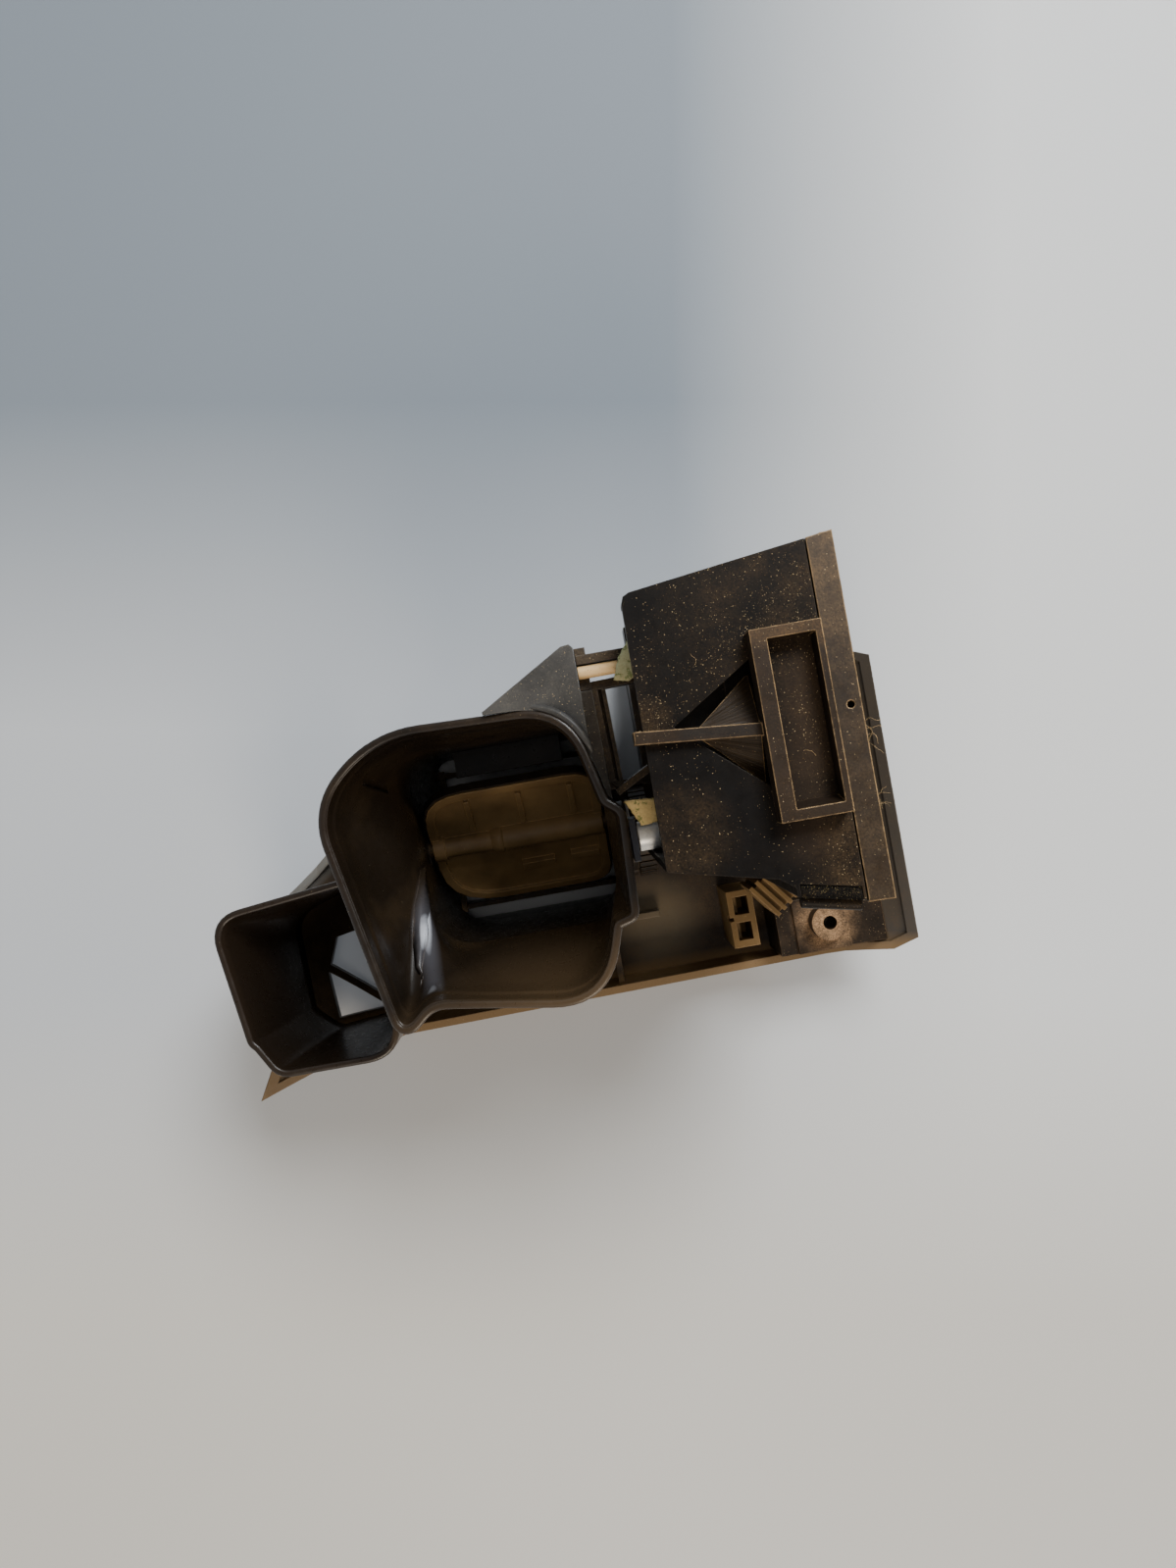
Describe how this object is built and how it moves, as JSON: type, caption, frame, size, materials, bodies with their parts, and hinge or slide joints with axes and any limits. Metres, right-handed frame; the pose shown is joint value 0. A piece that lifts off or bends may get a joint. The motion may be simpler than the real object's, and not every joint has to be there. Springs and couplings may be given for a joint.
{
  "type": "garage door opener console",
  "caption": "Vehicle console module with a compartment and push button for a garage door remote, a damped air duct with tilting vanes, and a side duct.",
  "frame": {"origin": "middle of the bounding box in X and Y, at the lowest point of the face in Z; the module lies face down", "axes": "+X along the length from the side duct to the opener case, +Y from the mounting boss towards the cross rod, +Z from the face to the back"},
  "size_m": [0.166, 0.098, 0.13],
  "materials": {
    "face_plastic": "grained black moulded plastic",
    "bracket_plastic": "dark brown plastic, tan where worn",
    "outlet_plastic": "satin black plastic",
    "duct_plastic": "glossy black-brown plastic, dusty outside",
    "ear_plastic": "grey sheen with dust",
    "frame_plastic": "dull black plastic with brown dust",
    "rod_plastic": "tan plastic",
    "bush_plastic": "grey low-friction plastic",
    "damper_plastic": "brown-black plastic, dusty",
    "rubber_seal": "matt black rubber",
    "steel": "drawn steel",
    "lever_plastic": "black plastic",
    "knob_plastic": "fine-grained black plastic",
    "vane_plastic": "satin black plastic",
    "case_plastic": "black plastic with tan dust specks",
    "clip_plastic": "satin brown-black plastic, worn tan edges",
    "cover_plastic": "satin brown plastic, worn tan edge",
    "foam_strip": "black flocked foam",
    "screw_steel": "zinc-plated steel",
    "button_plastic": "fine-grained black plastic",
    "remote_plastic": "black plastic",
    "circuit_board": "green circuit board",
    "chip_plastic": "black epoxy",
    "battery_shell": "printed steel shell with no marks",
    "copper": "varnished copper wire",
    "switch_plastic": "red plastic with white levers",
    "felt": "tan felt with green flecks",
    "lamp_metal": "bright plated metal",
    "lamp_glass": "clear glass",
    "shade_plastic": "smooth blue-grey plastic",
    "tower_plastic": "brown plastic",
    "spring_steel": "spring steel",
    "contact_brass": "brass"
  },
  "bodies": {
    "console": {"face_bezel": "face_plastic", "mount_bracket": "bracket_plastic", "outlet_frame": "outlet_plastic", "damper_barrel": "duct_plastic", "main_duct": "duct_plastic", "side_duct": "duct_plastic", "duct_ear": "ear_plastic", "bridge_frame": "frame_plastic", "cross_rod": "rod_plastic", "damper_bushes": "bush_plastic", "wheel_axle": "steel", "wheel_cheeks": "frame_plastic", "opener_case": "case_plastic", "clip_bracket": "clip_plastic", "end_cover": "cover_plastic", "case_seal": "foam_strip", "case_screws": "screw_steel", "cover_screws": "screw_steel", "button_guide": "frame_plastic", "button_spring": "steel", "remote_front": "remote_plastic", "remote_back": "remote_plastic", "remote_board": "circuit_board", "remote_chip": "chip_plastic", "remote_battery": "battery_shell", "battery_snap": "chip_plastic", "remote_coil": "copper", "code_switches": "switch_plastic", "felt_pad_upper": "felt", "felt_pad_lower": "felt", "lamp_sleeve": "lamp_metal", "lamp_bulb": "lamp_glass", "lamp_holder": "frame_plastic", "lamp_shade": "shade_plastic", "clip_tower": "tower_plastic", "tower_clip": "spring_steel", "connector_body": "tower_plastic", "connector_pins": "contact_brass"},
    "damper": {"damper_plate": "damper_plastic", "damper_seal": "rubber_seal", "damper_shaft": "steel", "damper_lever": "lever_plastic"},
    "rod": {"link_rod": "lever_plastic"},
    "wheel": {"thumbwheel": "knob_plastic"},
    "vane_a": {"vane_1": "vane_plastic"},
    "vane_b": {"vane_2": "vane_plastic"},
    "vane_c": {"vane_3": "vane_plastic", "vane_knob": "knob_plastic"},
    "vane_d": {"vane_4": "vane_plastic"},
    "vane_e": {"vane_5": "vane_plastic"},
    "vane_bar": {"vane_link": "lever_plastic"},
    "button": {"opener_button": "button_plastic"},
    "remote_key": {"remote_button": "remote_plastic"}
  },
  "joints": [
    {"name": "damper_turn", "type": "hinge", "parent": "console", "child": "damper", "pos_m": [-0.0094, 0.0045, 0.045], "axis": [1, 0, 0], "range_deg": [-45, 45]},
    {"name": "rod_swing", "type": "hinge", "parent": "damper", "child": "rod", "pos_m": [0.017, -0.0045, 0.045], "axis": [1, 0, 0], "range_deg": [-45, 45]},
    {"name": "wheel_turn", "type": "hinge", "parent": "console", "child": "wheel", "pos_m": [0.0206, -0.001, 0.0129], "axis": [1, 0, 0], "range_deg": [-45, 45]},
    {"name": "vane_a_tilt", "type": "hinge", "parent": "console", "child": "vane_a", "pos_m": [-0.0094, -0.0131, 0.008], "axis": [1, 0, 0], "range_deg": [-40, 40]},
    {"name": "vane_b_tilt", "type": "hinge", "parent": "console", "child": "vane_b", "pos_m": [-0.0094, -0.0043, 0.008], "axis": [1, 0, 0], "range_deg": [-40, 40]},
    {"name": "vane_c_tilt", "type": "hinge", "parent": "console", "child": "vane_c", "pos_m": [-0.0094, 0.0045, 0.008], "axis": [1, 0, 0], "range_deg": [-40, 40]},
    {"name": "vane_d_tilt", "type": "hinge", "parent": "console", "child": "vane_d", "pos_m": [-0.0094, 0.0133, 0.008], "axis": [1, 0, 0], "range_deg": [-40, 40]},
    {"name": "vane_e_tilt", "type": "hinge", "parent": "console", "child": "vane_e", "pos_m": [-0.0094, 0.0221, 0.008], "axis": [1, 0, 0], "range_deg": [-40, 40]},
    {"name": "vane_bar_swing", "type": "hinge", "parent": "vane_a", "child": "vane_bar", "pos_m": [-0.0289, -0.0131, 0.0113], "axis": [1, 0, 0], "range_deg": [-40, 40]},
    {"name": "button_press", "type": "slide", "parent": "console", "child": "button", "axis": [0, 0, 1], "range_m": [0, 0.0015], "stiffness_N_per_m": 400, "springref_m": -0.002, "deforming": ["button_spring"]},
    {"name": "remote_key_press", "type": "slide", "parent": "console", "child": "remote_key", "axis": [0, 0, 1], "range_m": [0, 0.0015]}
  ],
  "couplings": [
    {"joint": "rod_swing", "follows": "damper_turn", "ratio": -1},
    {"joint": "wheel_turn", "follows": "damper_turn", "ratio": 1},
    {"joint": "vane_a_tilt", "follows": "vane_c_tilt", "ratio": 1},
    {"joint": "vane_b_tilt", "follows": "vane_c_tilt", "ratio": 1},
    {"joint": "vane_d_tilt", "follows": "vane_c_tilt", "ratio": 1},
    {"joint": "vane_e_tilt", "follows": "vane_c_tilt", "ratio": 1},
    {"joint": "vane_bar_swing", "follows": "vane_c_tilt", "ratio": -1},
    {"joint": "remote_key_press", "follows": "button_press", "ratio": 1}
  ]
}
